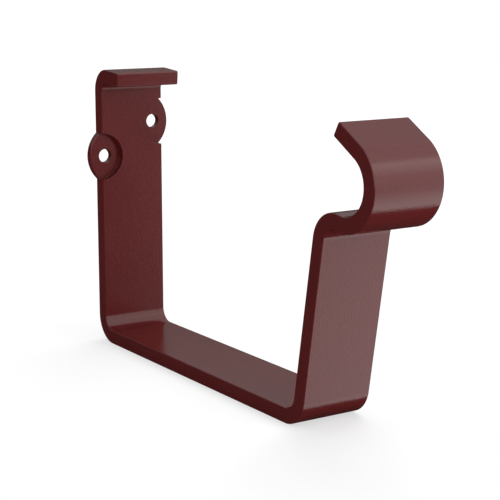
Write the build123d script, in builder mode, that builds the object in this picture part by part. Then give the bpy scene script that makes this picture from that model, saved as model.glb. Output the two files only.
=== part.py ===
from build123d import *
import os
from math import cos, radians, sin, tan

# Gutter bracket, in millimetres and degrees.
# One flat steel bar is bent cold into a tray that carries a box gutter. The wall leg stands
# against the fascia and ends in a short lip, the front leg leans outward and ends in a hook
# that grips the gutter's front bead, and two screw pads are pressed at the wall leg's edges.
# X points away from the wall, Y runs along the gutter and Z is up. The origin is on the wall
# face, in the middle of the bar's width, halfway up between the two screws.

# The flat bar
bar_width = 25.0
bar_thickness = 5.0
bar_corner_radius = 0.4  # along the rolled bar's four corners
cut_corner_radius = 0.6  # across its two sheared ends

# The tray, measured on the side that the gutter touches
overall_height = 101.0
tray_clear_width = 121.65
tray_bend_radius = 5.0
front_leg_lean = 9.9
shoulder_height = 70.0
shoulder_bend_radius = 5.0

# The hook for the gutter's bead, which goes on from the shoulder at the front leg's top
hook_radius = 9.0
hook_start = 11.3
hook_tip_rise = 30.0
hook_tip_length = 11.0

# The lip at the wall leg's top
lip_length = 12.3
lip_drop = 4.7
lip_bend_radius = 3.0

# The screw pads, pressed flat by a round punch that is centred on the bar's edge
pad_thickness = 2.5
pad_radius = 8.5
pad_reach = 3.7
punch_corner_radius = 0.3
screw_hole_diameter = 5.0
screw_edge_distance = 2.5
upper_screw_depth = 20.0
screw_spacing = 11.8

# The corners of the outline's gutter side before they are bent round: distances out from the
# wall, and heights above the tray's underside
lean = radians(front_leg_lean)
wall_leg_face = bar_thickness
tray_floor = bar_thickness
front_corner = wall_leg_face + tray_clear_width
shoulder_corner = front_corner + (shoulder_height - tray_floor) * tan(lean)
hook_start_reach = shoulder_corner + hook_start * cos(lean)
hook_start_height = shoulder_height - hook_start * sin(lean)
hook_turn = 180 - hook_tip_rise + front_leg_lean

# It is the outer round of the lip's bend that reaches the overall height, and the corner
# inside the bend lies a little higher than the bar's thickness below it.
drop = radians(lip_drop)
lip_corner_rise = lip_bend_radius * ((1 + sin(drop)) / cos(drop) - 1)
lip_corner_height = overall_height - bar_thickness + lip_corner_rise
lip_tip_reach = wall_leg_face + lip_length * cos(drop)
lip_tip_height = lip_corner_height - lip_length * sin(drop)

# Seen from the front, the lower screw is at the bar's left edge and the upper one at its right
half_width = bar_width / 2
upper_screw_height = overall_height - upper_screw_depth
lower_screw_height = upper_screw_height - screw_spacing
origin_height = (lower_screw_height + upper_screw_height) / 2
pads = [(-1, lower_screw_height), (1, upper_screw_height)]

# A pad's lobe is flatter than the punch's round: its arc crosses the bar's edge where the
# punch's does, and bulges only by the reach.
lobe_radius = (pad_radius**2 + pad_reach**2) / (2 * pad_reach)
lobe_inset = lobe_radius - pad_reach

# Planes to draw on, each with its Y axis pointing up from the tray's underside
side_plane = Plane(origin=(0, 0, -origin_height), x_dir=(1, 0, 0), z_dir=(0, -1, 0))
wall_plane = Plane(origin=(0, 0, -origin_height), x_dir=(0, 1, 0), z_dir=(1, 0, 0))
pad_plane = wall_plane.offset(pad_thickness)

# The two punches, with softened rims, standing on the pads' faces
with BuildPart() as punches:
    with BuildSketch(pad_plane):
        with Locations([(side * half_width, height) for side, height in pads]):
            Circle(pad_radius)
    extrude(amount=bar_thickness)
    pressing_rims = punches.edges().filter_by(GeomType.CIRCLE).group_by(Axis.X)[0]
    fillet(pressing_rims, radius=punch_corner_radius)

# The steel that they squeeze out past the bar's edges: two half discs whose straight sides
# lie within the bar
with BuildPart() as lobes:
    with BuildSketch(wall_plane):
        for side, height in pads:
            middle = side * (half_width - lobe_inset)
            outermost = side * (half_width + pad_reach)
            with BuildLine():
                foot = (middle, height - lobe_radius)
                head = (middle, height + lobe_radius)
                ThreePointArc(foot, (outermost, height), head)
                Line(head, foot)
            make_face()
    extrude(amount=pad_thickness)
    lobe_rims = lobes.edges().filter_by(GeomType.CIRCLE)
    fillet(lobe_rims, radius=bar_corner_radius)

with BuildPart() as gutter_bracket:
    # The outline from the side, drawn along the gutter side and thickened away from it
    with BuildSketch(side_plane) as outline:
        with BuildLine():
            bends = FilletPolyline(
                (lip_tip_reach, lip_tip_height),
                (wall_leg_face, lip_corner_height),
                (wall_leg_face, tray_floor),
                (front_corner, tray_floor),
                (shoulder_corner, shoulder_height),
                (hook_start_reach, hook_start_height),
                radius=[
                    lip_bend_radius,
                    tray_bend_radius,
                    tray_bend_radius,
                    shoulder_bend_radius + bar_thickness,
                ],
            )
            hook = JernArc(bends @ 1, bends % 1, hook_radius, hook_turn)
            tip = PolarLine(hook @ 1, hook_tip_length, direction=hook % 1)
            offset(amount=bar_thickness, side=Side.RIGHT)
        make_face()
        for end, along in [(bends @ 0, bends % 0), (tip @ 1, tip % 1)]:
            across = along.rotate(Axis.Z, -90) * bar_thickness
            cut_corners = outline.vertices().sort_by_distance(end + across / 2)[:2]
            fillet(cut_corners, radius=cut_corner_radius)
    extrude(amount=half_width, both=True)
    bar_corners = gutter_bracket.faces().filter_by(Axis.Y).edges()
    fillet(bar_corners, radius=bar_corner_radius)

    # The pressed pads and their screw holes
    add(punches.part, mode=Mode.SUBTRACT)
    add(lobes.part)
    with Locations(pad_plane):
        with Locations([(side * (half_width - screw_edge_distance), height) for side, height in pads]):
            Hole(radius=screw_hole_diameter / 2, depth=pad_thickness)

gutter_bracket.part.label = "gutter_bracket"

os.makedirs("parts", exist_ok=True)
export_step(gutter_bracket.part, "parts/gutter_bracket.step")
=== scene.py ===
"""Gutter bracket: a bent flat-bar hanger for a box gutter, in satin wine-red powder coating."""
import logging
import math
from dataclasses import dataclass
from enum import Enum

import bmesh
import bpy
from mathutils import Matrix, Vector


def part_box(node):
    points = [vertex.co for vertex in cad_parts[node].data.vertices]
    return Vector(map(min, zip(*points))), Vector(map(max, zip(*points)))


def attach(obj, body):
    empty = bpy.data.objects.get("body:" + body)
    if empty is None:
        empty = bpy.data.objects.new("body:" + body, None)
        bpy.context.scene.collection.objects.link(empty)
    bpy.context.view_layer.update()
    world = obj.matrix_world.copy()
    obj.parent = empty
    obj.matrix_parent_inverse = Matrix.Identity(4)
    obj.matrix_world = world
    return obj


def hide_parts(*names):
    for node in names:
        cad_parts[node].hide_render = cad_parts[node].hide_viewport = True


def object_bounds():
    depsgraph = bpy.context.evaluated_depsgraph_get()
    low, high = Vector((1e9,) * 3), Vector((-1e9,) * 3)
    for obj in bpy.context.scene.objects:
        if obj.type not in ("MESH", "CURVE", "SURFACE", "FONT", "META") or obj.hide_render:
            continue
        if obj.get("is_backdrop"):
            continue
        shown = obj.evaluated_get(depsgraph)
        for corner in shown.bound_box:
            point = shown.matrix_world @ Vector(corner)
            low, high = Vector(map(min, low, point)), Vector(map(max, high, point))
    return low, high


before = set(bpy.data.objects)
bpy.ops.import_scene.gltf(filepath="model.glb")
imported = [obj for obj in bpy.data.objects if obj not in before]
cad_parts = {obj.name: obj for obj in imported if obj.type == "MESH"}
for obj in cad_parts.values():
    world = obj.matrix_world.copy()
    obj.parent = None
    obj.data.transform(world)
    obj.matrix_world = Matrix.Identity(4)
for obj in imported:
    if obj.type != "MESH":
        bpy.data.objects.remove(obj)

log = logging.getLogger("gutter_bracket")

MM = 0.001
RIGHT_ANGLE = math.pi / 2
FULL_TURN = 2 * math.pi
NODE = "gutter_bracket"
BODY = "root"
WHITE = (1, 1, 1, 1)
Colour = tuple[float, float, float]
Span = tuple[float, float]


class RayKind(Enum):
    """The kinds of ray that a studio object can be shown to or hidden from."""

    CAMERA = "visible_camera"
    DIFFUSE = "visible_diffuse"
    GLOSSY = "visible_glossy"
    TRANSMISSION = "visible_transmission"
    VOLUME = "visible_volume_scatter"
    SHADOW = "visible_shadow"


def show_only_to(thing: bpy.types.Object, *kinds: RayKind) -> None:
    """Makes a studio object visible to some kinds of ray and to no others.

    Args:
        thing: The object to set.
        kinds: The rays that meet it.
    """
    for kind in RayKind:
        setattr(thing, kind.value, kind in kinds)


def new_object(name: str, data: bpy.types.ID) -> bpy.types.Object:
    """Adds an object that holds the given data to the scene.

    Args:
        name: The object's name.
        data: Its mesh, light or camera.

    Returns:
        The new object.
    """
    thing = bpy.data.objects.new(name, data)
    bpy.context.scene.collection.objects.link(thing)
    return thing


def close_round(shape: bmesh.types.BMesh, rows: list[list[bmesh.types.BMVert]]) -> None:
    """Joins rows of points, each a closed loop, with faces from each row to the next.

    Args:
        shape: The shape that the points belong to.
        rows: The rows, each with as many points as the others.
    """
    for row, following in zip(rows, rows[1:]):
        for i in range(len(row)):
            j = (i + 1) % len(row)
            shape.faces.new((row[i], row[j], following[j], following[i]))


def closed_object(name: str, shape: bmesh.types.BMesh) -> bpy.types.Object:
    """Turns a closed shape's faces outward and adds it to the scene as an object.

    Args:
        name: The object's name.
        shape: The shape, which is freed.

    Returns:
        The new object.
    """
    bmesh.ops.recalc_face_normals(shape, faces=shape.faces)
    mesh = bpy.data.meshes.new(name)
    shape.to_mesh(mesh)
    shape.free()
    return new_object(name, mesh)


def blank_material(name: str) -> tuple[bpy.types.Material, bpy.types.Node]:
    """Makes a material with nothing in its node tree but its output.

    Args:
        name: The material's name.

    Returns:
        The material and its output node.
    """
    made = bpy.data.materials.new(name)
    made.use_nodes = True
    made.node_tree.nodes.clear()
    return made, made.node_tree.nodes.new("ShaderNodeOutputMaterial")


def graded(
    tree: bpy.types.NodeTree, value: bpy.types.NodeSocket, given: Span, wanted: Span
) -> bpy.types.NodeSocket:
    """Adds a node that turns one span of values into another, and stays level past its ends.

    Args:
        tree: The node tree to add it to.
        value: The value that it turns.
        given: The two ends of that value's span.
        wanted: What they become.

    Returns:
        The turned value.
    """
    turned = tree.nodes.new("ShaderNodeMapRange")
    for name, end in zip(("From Min", "From Max", "To Min", "To Max"), (*given, *wanted)):
        turned.inputs[name].default_value = end
    tree.links.new(value, turned.inputs["Value"])
    return turned.outputs["Result"]


def keep_modified(thing: bpy.types.Object) -> None:
    """Makes an object's modified mesh its own mesh, and clears its modifiers.

    Args:
        thing: The object.
    """
    before = thing.data
    seen = thing.evaluated_get(bpy.context.evaluated_depsgraph_get())
    after = bpy.data.meshes.new_from_object(seen)
    thing.modifiers.clear()
    thing.data = after
    after.name = thing.name
    bpy.data.meshes.remove(before)


@dataclass(frozen=True)
class PowderCoating:
    """Satin polyester powder, baked on: slow clouds in colour and gloss, fine grain, a faint orange peel.

    Shares are parts of the colour, layers are how many finer noises each noise holds, and
    usual_noise is the span that most of a noise's values lie in.
    """

    colour: Colour = (0.105, 0.012, 0.012)
    refraction: float = 1.6
    gloss_roughness: float = 0.17
    roughness_spread: float = 0.01
    cloud_width: float = 19.0 * MM
    cloud_share: float = 0.06
    cloud_layers: float = 3.0
    grain_width: float = 0.6 * MM
    grain_share: float = 0.05
    grain_depth: float = 0.042 * MM
    grain_layers: float = 2.0
    peel_width: float = 1.6 * MM
    peel_depth: float = 0.004 * MM
    peel_layers: float = 1.0
    usual_noise: Span = (0.3, 0.7)

    def noise(self, tree: bpy.types.NodeTree, width: float, layers: float) -> bpy.types.NodeSocket:
        """Adds a noise that goes with the bracket.

        Args:
            tree: The coating's node tree.
            width: About how wide its bumps are.
            layers: How many finer layers it has.

        Returns:
            The noise's value.
        """
        place = tree.nodes.new("ShaderNodeTexCoord")
        texture = tree.nodes.new("ShaderNodeTexNoise")
        texture.inputs["Scale"].default_value = 1 / width
        texture.inputs["Detail"].default_value = layers
        tree.links.new(place.outputs["Object"], texture.inputs["Vector"])
        return texture.outputs["Fac"]

    def tone(
        self, tree: bpy.types.NodeTree, cloud: bpy.types.NodeSocket, grain: bpy.types.NodeSocket
    ) -> bpy.types.NodeSocket:
        """Clouds the colour, and lightens and darkens it with the grain.

        Args:
            tree: The coating's node tree.
            cloud: The clouds' value.
            grain: The grain's value.

        Returns:
            The coating's colour.
        """
        clouded = tree.nodes.new("ShaderNodeMix")
        clouded.data_type = "RGBA"
        for end, share in (("A", 1 - self.cloud_share), ("B", 1 + self.cloud_share)):
            clouded.inputs[end].default_value = (*(part * share for part in self.colour), 1)
        tree.links.new(cloud, clouded.inputs["Factor"])
        grained = tree.nodes.new("ShaderNodeVectorMath")
        grained.operation = "SCALE"
        ends = (1 - self.grain_share, 1 + self.grain_share)
        tree.links.new(clouded.outputs["Result"], grained.inputs["Vector"])
        tree.links.new(graded(tree, grain, self.usual_noise, ends), grained.inputs["Scale"])
        return grained.outputs["Vector"]

    def relief(self, tree: bpy.types.NodeTree, grain: bpy.types.NodeSocket) -> bpy.types.NodeSocket:
        """Raises the orange peel, and the grain on top of it.

        Args:
            tree: The coating's node tree.
            grain: The grain's value.

        Returns:
            The way that the coated surface faces.
        """
        peel = self.noise(tree, self.peel_width, self.peel_layers)
        under, over = tree.nodes.new("ShaderNodeBump"), tree.nodes.new("ShaderNodeBump")
        for bump, height, depth in ((under, peel, self.peel_depth), (over, grain, self.grain_depth)):
            bump.inputs["Distance"].default_value = depth
            tree.links.new(height, bump.inputs["Height"])
        tree.links.new(under.outputs["Normal"], over.inputs["Normal"])
        return over.outputs["Normal"]

    def material(self) -> bpy.types.Material:
        """Builds the coating's shader.

        Returns:
            The material, mapped by the object's own coordinates.
        """
        made = bpy.data.materials.new("wine_red_powder_coat")
        made.use_nodes = True
        tree = made.node_tree
        paint = tree.nodes["Principled BSDF"]
        paint.inputs["IOR"].default_value = self.refraction
        cloud = self.noise(tree, self.cloud_width, self.cloud_layers)
        grain = self.noise(tree, self.grain_width, self.grain_layers)
        ends = (self.gloss_roughness - self.roughness_spread, self.gloss_roughness + self.roughness_spread)
        tree.links.new(self.tone(tree, cloud, grain), paint.inputs["Base Color"])
        tree.links.new(graded(tree, cloud, self.usual_noise, ends), paint.inputs["Roughness"])
        tree.links.new(self.relief(tree, grain), paint.inputs["Normal"])
        return made


class BarEdge(Enum):
    """The bar's two long edges, by the way along the gutter in which each one lies."""

    NEAR = -1
    FAR = 1


class Working(Enum):
    """What a tool does to the bar."""

    SPREAD = "UNION"
    CUT = "DIFFERENCE"


def heading(angle: float) -> Vector:
    """A step of length one in a plane: on the bar's side the way out from the wall comes first, then up.

    Args:
        angle: Its angle from the plane's first way towards the second, in radians.

    Returns:
        The step, along the first way and the second.
    """
    return Vector((math.cos(angle), math.sin(angle)))


def quarter_round(middle: Vector, radius: float, start: float, turn: float, steps: int) -> list[Vector]:
    """Points round a quarter of a circle.

    Args:
        middle: The circle's centre.
        radius: Its radius.
        start: Angle of the first point, seen from the centre.
        turn: 1 to go round anticlockwise and -1 to go round clockwise.
        steps: Number of steps to the last point.

    Returns:
        The points, with both ends.
    """
    return [middle + radius * heading(start + turn * RIGHT_ANGLE * i / steps) for i in range(steps + 1)]


@dataclass(frozen=True)
class Station:
    """A place on the bar's gutter side, and the angle at which the bar runs on from it."""

    place: Vector
    angle: float

    def out(self) -> Vector:
        """The way out through the bar's thickness, away from the gutter."""
        return heading(self.angle - RIGHT_ANGLE)


class BarRun:
    """Walks along the bar's gutter side and keeps its stations, bend by bend."""

    bend_step: float = math.radians(3)

    def __init__(self, place: Vector, angle: float) -> None:
        """Starts the walk at a place, going at an angle."""
        self.stations = [Station(place, angle)]

    @property
    def place(self) -> Vector:
        """Where the walk has come to."""
        return self.stations[-1].place

    @property
    def angle(self) -> float:
        """The angle that it now goes at."""
        return self.stations[-1].angle

    def straight(self, length: float) -> None:
        """Goes straight on for a length."""
        self.stations.append(Station(self.place + length * heading(self.angle), self.angle))

    def bend(self, turn: float, radius: float) -> None:
        """Goes round a bend.

        Args:
            turn: The bend's angle, in radians, above zero where the gutter is inside the bend.
            radius: Its radius on the gutter side.
        """
        inward = self.angle + math.copysign(RIGHT_ANGLE, turn)
        middle = self.place + radius * heading(inward)
        first = self.angle
        steps = math.ceil(abs(turn) / self.bend_step)
        for i in range(1, steps + 1):
            part = turn * i / steps
            self.stations.append(Station(middle - radius * heading(inward + part), first + part))


@dataclass(frozen=True)
class FlatBar:
    """The rolled steel bar: its section, and the soft corners that it is rolled and cut with."""

    width: float = 25.0 * MM
    thickness: float = 5.0 * MM
    corner_radius: float = 0.4 * MM
    cut_radius: float = 0.6 * MM
    corner_steps: int = 5

    def cut_corner(self, end: Station, depth: float, start: float) -> list[tuple[Vector, Vector]]:
        """Draws one rounded corner of a cut end.

        Args:
            end: The last station before the end.
            depth: How far the corner's centre lies below the gutter side.
            start: Angle of the corner's first point, seen from that centre.

        Returns:
            The corner's points, each with its way outward.
        """
        middle = end.place + depth * end.out()
        ways = quarter_round(Vector((0, 0)), 1.0, start, -1, self.corner_steps)
        return [(middle + self.cut_radius * way, way) for way in ways]

    def outline(self, stations: list[Station]) -> list[tuple[Vector, Vector]]:
        """Draws the bent bar's closed outline, seen from the side.

        Args:
            stations: The stations along its gutter side, short of each end by the cut's radius.

        Returns:
            The outline's points, each with its way outward.
        """
        first, last = stations[0], stations[-1]
        near, far = self.cut_radius, self.thickness - self.cut_radius
        inner = [(s.place, -s.out()) for s in stations[1:-1]]
        outer = [(s.place + self.thickness * s.out(), s.out()) for s in reversed(stations[1:-1])]
        tip = self.cut_corner(last, near, last.angle + RIGHT_ANGLE)
        tip += self.cut_corner(last, far, last.angle)
        root = self.cut_corner(first, far, first.angle - RIGHT_ANGLE)
        root += self.cut_corner(first, near, first.angle - math.pi)
        return inner + tip + outer + root

    def bent(self, name: str, stations: list[Station], underside: float) -> bpy.types.Object:
        """Makes the bent bar as a closed mesh.

        Args:
            name: The object's name.
            stations: The stations along its gutter side.
            underside: Height of the bar's lowest point in the frame.

        Returns:
            The bar.
        """
        outline = self.outline(stations)
        half_flat = self.width / 2 - self.corner_radius
        rings = []
        for i in range(self.corner_steps + 1):
            turn = heading(RIGHT_ANGLE * i / self.corner_steps)
            rings.append((self.corner_radius * (1 - turn.x), half_flat + self.corner_radius * turn.y))
        rings = [(inset, -reach) for inset, reach in reversed(rings)] + rings

        shape = bmesh.new()
        rows = []
        for inset, reach in rings:
            points = [place - inset * way for place, way in outline]
            rows.append([shape.verts.new((p.x, reach, p.y + underside)) for p in points])
        close_round(shape, rows)
        # Each long edge is closed by a strip of four-cornered faces and one face at each cut end.
        sides = len(stations) - 2
        tip_points = 2 * (self.corner_steps + 1)
        for row in (rows[0], rows[-1]):
            for i in range(sides - 1):
                j = sides + tip_points + (sides - 1 - i)
                shape.faces.new((row[i], row[i + 1], row[j - 1], row[j]))
            shape.faces.new(row[sides - 1:sides + tip_points + 1])
            shape.faces.new(row[2 * sides + tip_points - 1:] + row[:1])
        return closed_object(name, shape)


@dataclass(frozen=True)
class RearLip:
    """The short lip at the top of the wall leg, which holds the gutter's rear edge down."""

    length: float = 12.3 * MM
    drop: float = math.radians(4.7)
    bend_radius: float = 3.0 * MM
    overall_height: float = 101.0 * MM

    def start(self, bar: FlatBar) -> BarRun:
        """Starts the bar's run at the lip's cut end.

        Args:
            bar: The bar.

        Returns:
            The run, just short of that end by the cut's radius.
        """
        rise = self.bend_radius * ((1 + math.sin(self.drop)) / math.cos(self.drop) - 1)
        corner = Vector((bar.thickness, self.overall_height - bar.thickness + rise))
        angle = math.pi - self.drop
        return BarRun(corner - (self.length - bar.cut_radius) * heading(angle), angle)

    def lay(self, run: BarRun, bar: FlatBar) -> None:
        """Lays the lip and the bend down into the wall leg.

        Args:
            run: The bar's run.
            bar: The bar.
        """
        turn = RIGHT_ANGLE + self.drop
        run.straight(self.length - bar.cut_radius - self.bend_radius * math.tan(turn / 2))
        run.bend(turn, self.bend_radius)


@dataclass(frozen=True)
class GutterTray:
    """The wall leg, the flat tray and the leaning front leg with the shoulder at its top."""

    clear_width: float = 121.65 * MM
    bend_radius: float = 5.0 * MM
    front_lean: float = math.radians(9.9)
    shoulder_height: float = 70.0 * MM
    shoulder_radius: float = 5.0 * MM

    def lay(self, run: BarRun, bar: FlatBar) -> None:
        """Lays both legs and the tray between them.

        Args:
            run: The bar's run.
            bar: The bar.
        """
        floor = bar.thickness
        run.straight(run.place.y - floor - self.bend_radius)
        run.bend(RIGHT_ANGLE, self.bend_radius)
        front_turn = RIGHT_ANGLE - self.front_lean
        front_corner = bar.thickness + self.clear_width
        run.straight(front_corner - run.place.x - self.bend_radius * math.tan(front_turn / 2))
        run.bend(front_turn, self.bend_radius)
        shoulder = self.shoulder_radius + bar.thickness
        run.straight((self.shoulder_height - run.place.y) / math.cos(self.front_lean) - shoulder)
        run.bend(-RIGHT_ANGLE, shoulder)


@dataclass(frozen=True)
class BeadHook:
    """The round hook that grips the gutter's front bead, with its straight tip."""

    start: float = 11.3 * MM
    radius: float = 9.0 * MM
    tip_rise: float = math.radians(30)
    tip_length: float = 11.0 * MM

    def lay(self, run: BarRun, bar: FlatBar, tray: GutterTray) -> None:
        """Lays the hook, from the shoulder to its cut end.

        Args:
            run: The bar's run.
            bar: The bar.
            tray: The tray, for its shoulder and its front leg's lean.
        """
        run.straight(self.start - tray.shoulder_radius - bar.thickness)
        run.bend(math.pi - self.tip_rise + tray.front_lean, self.radius)
        run.straight(self.tip_length - bar.cut_radius)


@dataclass(frozen=True)
class ScrewPad:
    """A pad that a round punch has pressed flat at the bar's edge, with its screw hole.

    Its tools are turned about lines that stand on the wall, and lie at a height above the underside.
    """

    edge: BarEdge
    height: float
    thickness: float = 2.5 * MM
    radius: float = 8.5 * MM
    reach: float = 3.7 * MM
    punch_radius: float = 0.15 * MM
    rim_radius: float = 0.08 * MM
    lobe_rim_radius: float = 0.4 * MM
    hole_diameter: float = 5.0 * MM
    edge_distance: float = 2.5 * MM
    clearance: float = 2.0 * MM
    rim_steps: int = 6
    turn_steps: int = 120

    def turned(self, name: str, profile: list[Vector], across: float, underside: float) -> bpy.types.Object:
        """Turns a profile about a line that stands on the wall.

        Args:
            name: The object's name.
            profile: Points from one end of the line to the other, radius first and then
                distance from the wall.
            across: Where the line stands across the bar.
            underside: Height of the bar's lowest point in the frame.

        Returns:
            The turned solid.
        """
        shape = bmesh.new()
        upward = self.height + underside
        rows = []
        for radius, out in profile[1:-1]:
            row = []
            for i in range(self.turn_steps):
                way = heading(FULL_TURN * i / self.turn_steps)
                row.append(shape.verts.new((out, across + radius * way.x, upward + radius * way.y)))
            rows.append(row)
        close_round(shape, rows)
        for row in (rows[0], rows[-1]):
            shape.faces.new(row)
        return closed_object(name, shape)

    def punch(self, bar: FlatBar, underside: float) -> bpy.types.Object:
        """Makes the punch, with a rounded rim below and a flare that softens the recess's upper edge.

        Args:
            bar: The bar.
            underside: Height of the bar's lowest point in the frame.

        Returns:
            The punch.
        """
        low, rim = self.punch_radius, self.rim_radius
        foot = Vector((self.radius - low, self.thickness + low))
        brim = Vector((self.radius + rim, bar.thickness - rim))
        top = bar.thickness + self.clearance
        profile = [
            Vector((0, self.thickness)),
            *quarter_round(foot, low, -RIGHT_ANGLE, 1, self.rim_steps),
            *quarter_round(brim, rim, math.pi, -1, self.rim_steps),
            Vector((brim.x, top)),
            Vector((0, top)),
        ]
        return self.turned("punch", profile, self.edge.value * bar.width / 2, underside)

    def lobe(self, bar: FlatBar, underside: float) -> bpy.types.Object:
        """Makes the steel that the punch squeezes out past the bar's edge.

        Args:
            bar: The bar.
            underside: Height of the bar's lowest point in the frame.

        Returns:
            The lobe, as a disc whose other side lies within the bar.
        """
        radius = (self.radius ** 2 + self.reach ** 2) / (2 * self.reach)
        across = self.edge.value * (bar.width / 2 + self.reach - radius)
        rim = self.lobe_rim_radius
        profile = [
            Vector((0, 0)),
            *quarter_round(Vector((radius - rim, rim)), rim, -RIGHT_ANGLE, 1, self.rim_steps),
            *quarter_round(Vector((radius - rim, self.thickness - rim)), rim, 0, 1, self.rim_steps),
            Vector((0, self.thickness)),
        ]
        return self.turned("lobe", profile, across, underside)

    def drill(self, bar: FlatBar, underside: float) -> bpy.types.Object:
        """Makes the drill for the screw hole, flared where it meets the pad's two faces.

        Args:
            bar: The bar.
            underside: Height of the bar's lowest point in the frame.

        Returns:
            The drill.
        """
        radius, rim = self.hole_diameter / 2, self.rim_radius
        wide = radius + rim
        ends = (-self.clearance, self.thickness + self.clearance)
        profile = [
            Vector((0, ends[0])),
            Vector((wide, ends[0])),
            *quarter_round(Vector((wide, rim)), rim, -RIGHT_ANGLE, -1, self.rim_steps),
            *quarter_round(Vector((wide, self.thickness - rim)), rim, math.pi, -1, self.rim_steps),
            Vector((wide, ends[1])),
            Vector((0, ends[1])),
        ]
        across = self.edge.value * (bar.width / 2 - self.edge_distance)
        return self.turned("drill", profile, across, underside)


@dataclass
class GutterBracket:
    """The bracket: one bar, bent from lip to hook, pressed and drilled at its two screw pads."""

    finish: PowderCoating
    underside: float
    bar: FlatBar = FlatBar()
    lip: RearLip = RearLip()
    tray: GutterTray = GutterTray()
    hook: BeadHook = BeadHook()
    upper_screw_depth: float = 20.0 * MM
    screw_spacing: float = 11.8 * MM
    merge_distance: float = 0.001 * MM
    flat_angle: float = math.radians(0.05)
    sharp_angle: float = math.radians(35)

    def pads(self) -> list[ScrewPad]:
        """The lower pad, at the bar's near edge, and the upper one, at its far edge."""
        upper = self.lip.overall_height - self.upper_screw_depth
        return [ScrewPad(BarEdge.NEAR, upper - self.screw_spacing), ScrewPad(BarEdge.FAR, upper)]

    def build(self) -> bpy.types.Object:
        """Makes the bracket's mesh and dresses it.

        Returns:
            The bracket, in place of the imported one.
        """
        run = self.lip.start(self.bar)
        self.lip.lay(run, self.bar)
        self.tray.lay(run, self.bar)
        self.hook.lay(run, self.bar, self.tray)
        piece = self.bar.bent("coated_bracket", run.stations, self.underside)
        for pad in self.pads():
            self.work(piece, pad.lobe(self.bar, self.underside), Working.SPREAD)
            self.work(piece, pad.punch(self.bar, self.underside), Working.CUT)
            self.work(piece, pad.drill(self.bar, self.underside), Working.CUT)
        self.smooth(piece)
        self.dress(piece)
        return piece

    def work(self, piece: bpy.types.Object, tool: bpy.types.Object, working: Working) -> None:
        """Works the bar with a tool and clears the tool away.

        Args:
            piece: The bar.
            tool: The tool, as a closed solid.
            working: What the tool does.
        """
        step = piece.modifiers.new(tool.name, "BOOLEAN")
        step.operation = working.value
        step.solver = "EXACT"
        step.object = tool
        keep_modified(piece)
        mesh = tool.data
        bpy.data.objects.remove(tool)
        bpy.data.meshes.remove(mesh)

    def smooth(self, piece: bpy.types.Object) -> None:
        """Tidies the worked mesh and shades its rounds smooth and its flats flat.

        Args:
            piece: The bracket.
        """
        shape = bmesh.new()
        shape.from_mesh(piece.data)
        bmesh.ops.remove_doubles(shape, verts=shape.verts, dist=self.merge_distance)
        bmesh.ops.dissolve_limit(
            shape, angle_limit=self.flat_angle, use_dissolve_boundaries=False,
            verts=shape.verts, edges=shape.edges,
        )
        loose = [corner for corner in shape.verts if not corner.link_faces]
        bmesh.ops.delete(shape, geom=loose, context="VERTS")
        shape.to_mesh(piece.data)
        shape.free()
        piece.data.shade_smooth()
        piece.data.set_sharp_from_angle(angle=self.sharp_angle)
        weigh = piece.modifiers.new("weigh_normals", "WEIGHTED_NORMAL")
        weigh.keep_sharp = True
        keep_modified(piece)

    def dress(self, piece: bpy.types.Object) -> None:
        """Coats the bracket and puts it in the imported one's place.

        Args:
            piece: The bracket.
        """
        piece.data.materials.append(self.finish.material())
        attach(piece, BODY)
        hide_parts(NODE)


@dataclass(frozen=True)
class Floor:
    """A plain pale floor under the bracket, white to the eye but for the shadow on it.

    The eye sees shadow_share of the light that falls on the floor, and white makes up what the open
    floor lacks. near_light and far_light are the light that falls within and beyond the fade's two
    distances from the origin, so the white grows farther out.
    """

    level: float
    radius: float = 4.0
    steps: int = 96
    grey: float = 0.76
    shadow_share: float = 0.45
    near_light: float = 0.9
    far_light: float = 0.6
    fade: Span = (0.25, 1.0)

    def build(self) -> bpy.types.Object:
        """Makes the floor's disc.

        Returns:
            The floor, marked as stage.
        """
        ways = [heading(FULL_TURN * i / self.steps) for i in range(self.steps)]
        corners = [(self.radius * way.x, self.radius * way.y, self.level) for way in ways]
        mesh = bpy.data.meshes.new("floor")
        mesh.from_pydata(corners, [], [list(range(self.steps))])
        mesh.materials.append(self.material())
        floor = new_object("floor", mesh)
        floor.visible_glossy = False
        floor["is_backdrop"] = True
        return floor

    def material(self) -> bpy.types.Material:
        """Builds the floor's shader: a pale board for the light that it bounces, a white one for the eye.

        Returns:
            The material.
        """
        made, out = blank_material("pale_floor")
        tree = made.node_tree
        board = tree.nodes.new("ShaderNodeBsdfDiffuse")
        seen_board = tree.nodes.new("ShaderNodeBsdfDiffuse")
        for shade, grey in ((board, self.grey), (seen_board, self.shadow_share)):
            shade.inputs["Color"].default_value = (grey, grey, grey, 1)
        place = tree.nodes.new("ShaderNodeTexCoord")
        reach = tree.nodes.new("ShaderNodeVectorMath")
        reach.operation = "LENGTH"
        tree.links.new(place.outputs["Object"], reach.inputs[0])
        lacking = (1 - self.shadow_share * self.near_light, 1 - self.shadow_share * self.far_light)
        white = tree.nodes.new("ShaderNodeEmission")
        tree.links.new(graded(tree, reach.outputs["Value"], self.fade, lacking), white.inputs["Strength"])
        seen = tree.nodes.new("ShaderNodeAddShader")
        tree.links.new(seen_board.outputs["BSDF"], seen.inputs[0])
        tree.links.new(white.outputs["Emission"], seen.inputs[1])
        ray = tree.nodes.new("ShaderNodeLightPath")
        choose = tree.nodes.new("ShaderNodeMixShader")
        tree.links.new(ray.outputs["Is Camera Ray"], choose.inputs["Fac"])
        tree.links.new(board.outputs["BSDF"], choose.inputs[1])
        tree.links.new(seen.outputs["Shader"], choose.inputs[2])
        tree.links.new(choose.outputs["Shader"], out.inputs["Surface"])
        return made


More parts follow.
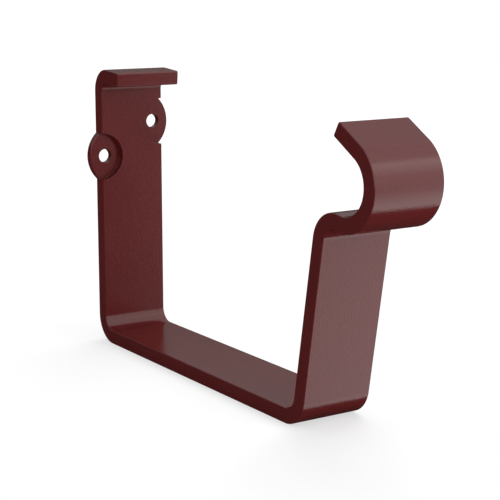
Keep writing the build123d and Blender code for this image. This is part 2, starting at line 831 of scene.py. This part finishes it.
@dataclass(frozen=True)
class MirrorCard:
    """A card far round the bracket that shows only in the gloss of its paint.

    Azimuths run from +X towards +Y, in degrees, and elevations up from the horizon. Brightness is
    given at the card's lower and upper edge. Gloss that is itself mirrored in gloss shows only
    again_share of it.
    """

    name: str
    azimuths: Span
    elevations: Span
    brightness: Span
    distance: float
    step: float = 3.0
    again_share: float = 0.2

    def angles(self, ends: Span) -> list[float]:
        """Divides a span of degrees into even steps, given in radians with both ends."""
        count = max(1, math.ceil((ends[1] - ends[0]) / self.step))
        return [math.radians(ends[0] + (ends[1] - ends[0]) * i / count) for i in range(count + 1)]

    def build(self) -> bpy.types.Object:
        """Makes the card as a patch of a sphere round the origin.

        Returns:
            The card, marked as stage.
        """
        turns, rises = self.angles(self.azimuths), self.angles(self.elevations)
        points = []
        for rise in rises:
            out, up = self.distance * heading(rise)
            for turn in turns:
                way = heading(turn)
                points.append((out * way.x, out * way.y, up))
        row = len(turns)
        faces = [
            (j * row + i, j * row + i + 1, (j + 1) * row + i + 1, (j + 1) * row + i)
            for j in range(len(rises) - 1)
            for i in range(row - 1)
        ]
        mesh = bpy.data.meshes.new(self.name)
        mesh.from_pydata(points, [], faces)
        mesh.materials.append(self.material())
        card = new_object(self.name, mesh)
        show_only_to(card, RayKind.GLOSSY)
        card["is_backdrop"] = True
        return card

    def material(self) -> bpy.types.Material:
        """Builds the card's shader, which grades from its lower to its upper edge.

        Returns:
            The material.
        """
        made, out = blank_material(self.name)
        made.cycles.emission_sampling = "NONE"
        tree = made.node_tree
        place = tree.nodes.new("ShaderNodeTexCoord")
        axes = tree.nodes.new("ShaderNodeSeparateXYZ")
        tree.links.new(place.outputs["Object"], axes.inputs["Vector"])
        heights = tuple(self.distance * math.sin(math.radians(rise)) for rise in self.elevations)
        direct = graded(tree, axes.outputs["Z"], heights, self.brightness)
        ray = tree.nodes.new("ShaderNodeLightPath")
        first_and_second = (1, 2)
        share = graded(tree, ray.outputs["Glossy Depth"], first_and_second, (1, self.again_share))
        shown = tree.nodes.new("ShaderNodeMath")
        shown.operation = "MULTIPLY"
        tree.links.new(direct, shown.inputs[0])
        tree.links.new(share, shown.inputs[1])
        glow = tree.nodes.new("ShaderNodeEmission")
        tree.links.new(shown.outputs["Value"], glow.inputs["Strength"])
        tree.links.new(glow.outputs["Emission"], out.inputs["Surface"])
        return made


# Seen from the camera: white all round above, dark below and low behind, a ceiling that darkens from
# the right round to the left, and bright panels on the right, for the bands on the hook and the sheen
# on the front leg.
CARDS = (
    MirrorCard("white_sky", (-180, 180), (0, 90), (1.0, 1.0), 7.0),
    MirrorCard("dark_base", (-180, 180), (-90, 0), (0.02, 0.02), 6.0),
    MirrorCard("dark_horizon", (84, 300), (0, 11), (0.0, 0.0), 6.0),
    MirrorCard("dim_horizon", (84, 300), (11, 15), (0.0, 0.36), 6.0),
    MirrorCard("far_ceiling", (106, 180), (15, 70), (0.36, 0.69), 6.0),
    MirrorCard("left_ceiling", (180, 300), (15, 70), (0.2, 0.3), 6.0),
    MirrorCard("middle_ceiling", (84, 106), (15, 70), (0.70, 0.74), 6.0),
    MirrorCard("near_ceiling", (62, 84), (0, 60), (1.0, 0.87), 6.0),
    MirrorCard("dim_side", (8, 33), (-40, 0), (0.06, 0.06), 5.0),
    MirrorCard("low_panel", (33, 44), (-44, -19), (1.36, 1.3), 5.0),
    MirrorCard("low_bright_panel", (44, 63), (-44, -19), (1.7, 1.58), 5.0),
    MirrorCard("middle_panel", (33, 63), (-19, 2), (1.2, 0.98), 5.0),
    MirrorCard("high_panel", (37, 60), (16, 38), (1.25, 2.0), 5.0),
)


@dataclass(frozen=True)
class Softbox:
    """A soft square lamp, aimed at the middle of the bracket.

    Its level is how brightly it lights the bracket, whatever its distance.
    """

    name: str
    toward: tuple[float, float, float]
    distance: float
    side: float
    level: float

    def build(self, middle: Vector) -> bpy.types.Object:
        """Hangs the lamp.

        Args:
            middle: The point that it is aimed at.

        Returns:
            The lamp.
        """
        lamp = bpy.data.lights.new(self.name, "AREA")
        lamp.shape = "SQUARE"
        lamp.size = self.side
        lamp.energy = self.level * (math.pi * self.distance) ** 2
        box = new_object(self.name, lamp)
        way = Vector(self.toward).normalized()
        box.location = middle + way * self.distance
        box.rotation_euler = way.to_track_quat("Z", "Y").to_euler()
        box.visible_glossy = False
        return box


LAMPS = (
    Softbox("key_softbox", (0.79, 0.35, -0.02), 1.2, 0.9, 0.94),
    Softbox("rear_softbox", (-0.32, 0.51, 0.83), 1.2, 0.9, 0.45),
)


@dataclass(frozen=True)
class Room:
    """The white room: an even pale light, and white wherever it is seen."""

    level: float = 0.64

    def build(self) -> bpy.types.World:
        """Makes the world.

        Returns:
            The scene's new world.
        """
        world = bpy.data.worlds.new("white_room")
        bpy.context.scene.world = world
        world.use_nodes = True
        world.cycles.sampling_method = "NONE"
        tree = world.node_tree
        tree.nodes.clear()
        out = tree.nodes.new("ShaderNodeOutputWorld")
        light = tree.nodes.new("ShaderNodeBackground")
        white = tree.nodes.new("ShaderNodeBackground")
        for shade, strength in ((light, self.level), (white, 1)):
            shade.inputs["Color"].default_value = WHITE
            shade.inputs["Strength"].default_value = strength
        ray = tree.nodes.new("ShaderNodeLightPath")
        seen = ray.outputs["Is Camera Ray"]
        for kind in ("Is Glossy Ray", "Is Transmission Ray"):
            either = tree.nodes.new("ShaderNodeMath")
            either.operation = "MAXIMUM"
            tree.links.new(seen, either.inputs[0])
            tree.links.new(ray.outputs[kind], either.inputs[1])
            seen = either.outputs["Value"]
        choose = tree.nodes.new("ShaderNodeMixShader")
        tree.links.new(seen, choose.inputs["Fac"])
        tree.links.new(light.outputs["Background"], choose.inputs[1])
        tree.links.new(white.outputs["Background"], choose.inputs[2])
        tree.links.new(choose.outputs["Shader"], out.inputs["Surface"])
        return world


@dataclass(frozen=True)
class PhotoCamera:
    """The camera, where the photograph was taken from."""

    place: tuple[float, float, float] = (0.4591, -0.2454, 0.0591)
    aim: tuple[float, float, float] = (0.0843, 0.0, -0.0288)
    lens: float = 100.74
    sensor: float = 36.0
    nearest: float = 0.01
    farthest: float = 50.0

    def build(self) -> bpy.types.Object:
        """Makes the camera and gives it to the scene.

        Returns:
            The camera.
        """
        data = bpy.data.cameras.new("photo_camera")
        data.lens = self.lens
        data.sensor_width = self.sensor
        data.clip_start = self.nearest
        data.clip_end = self.farthest
        camera = new_object("photo_camera", data)
        camera.location = self.place
        back = Vector(self.place) - Vector(self.aim)
        camera.rotation_euler = back.to_track_quat("Z", "Y").to_euler()
        bpy.context.scene.camera = camera
        return camera


def main() -> None:
    """Dresses the bracket and sets the studio round it."""
    logging.basicConfig(level=logging.INFO, format="%(name)s: %(message)s")
    cad_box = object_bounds()
    middle = (cad_box[0] + cad_box[1]) / 2
    bracket = GutterBracket(PowderCoating(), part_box(NODE)[0].z).build()
    log.info("bent, pressed and coated %s: %d faces", bracket.name, len(bracket.data.polygons))
    floor = Floor(cad_box[0].z).build()
    log.info("laid %s at %.4f m", floor.name, cad_box[0].z)
    log.info("painted %s", Room().build().name)
    for card in CARDS:
        log.info("hung %s", card.build().name)
    for lamp in LAMPS:
        log.info("hung %s", lamp.build(middle).name)
    log.info("set up %s", PhotoCamera().build().name)
    bpy.context.scene.view_settings.view_transform = "Standard"


if __name__ == "__main__":
    main()
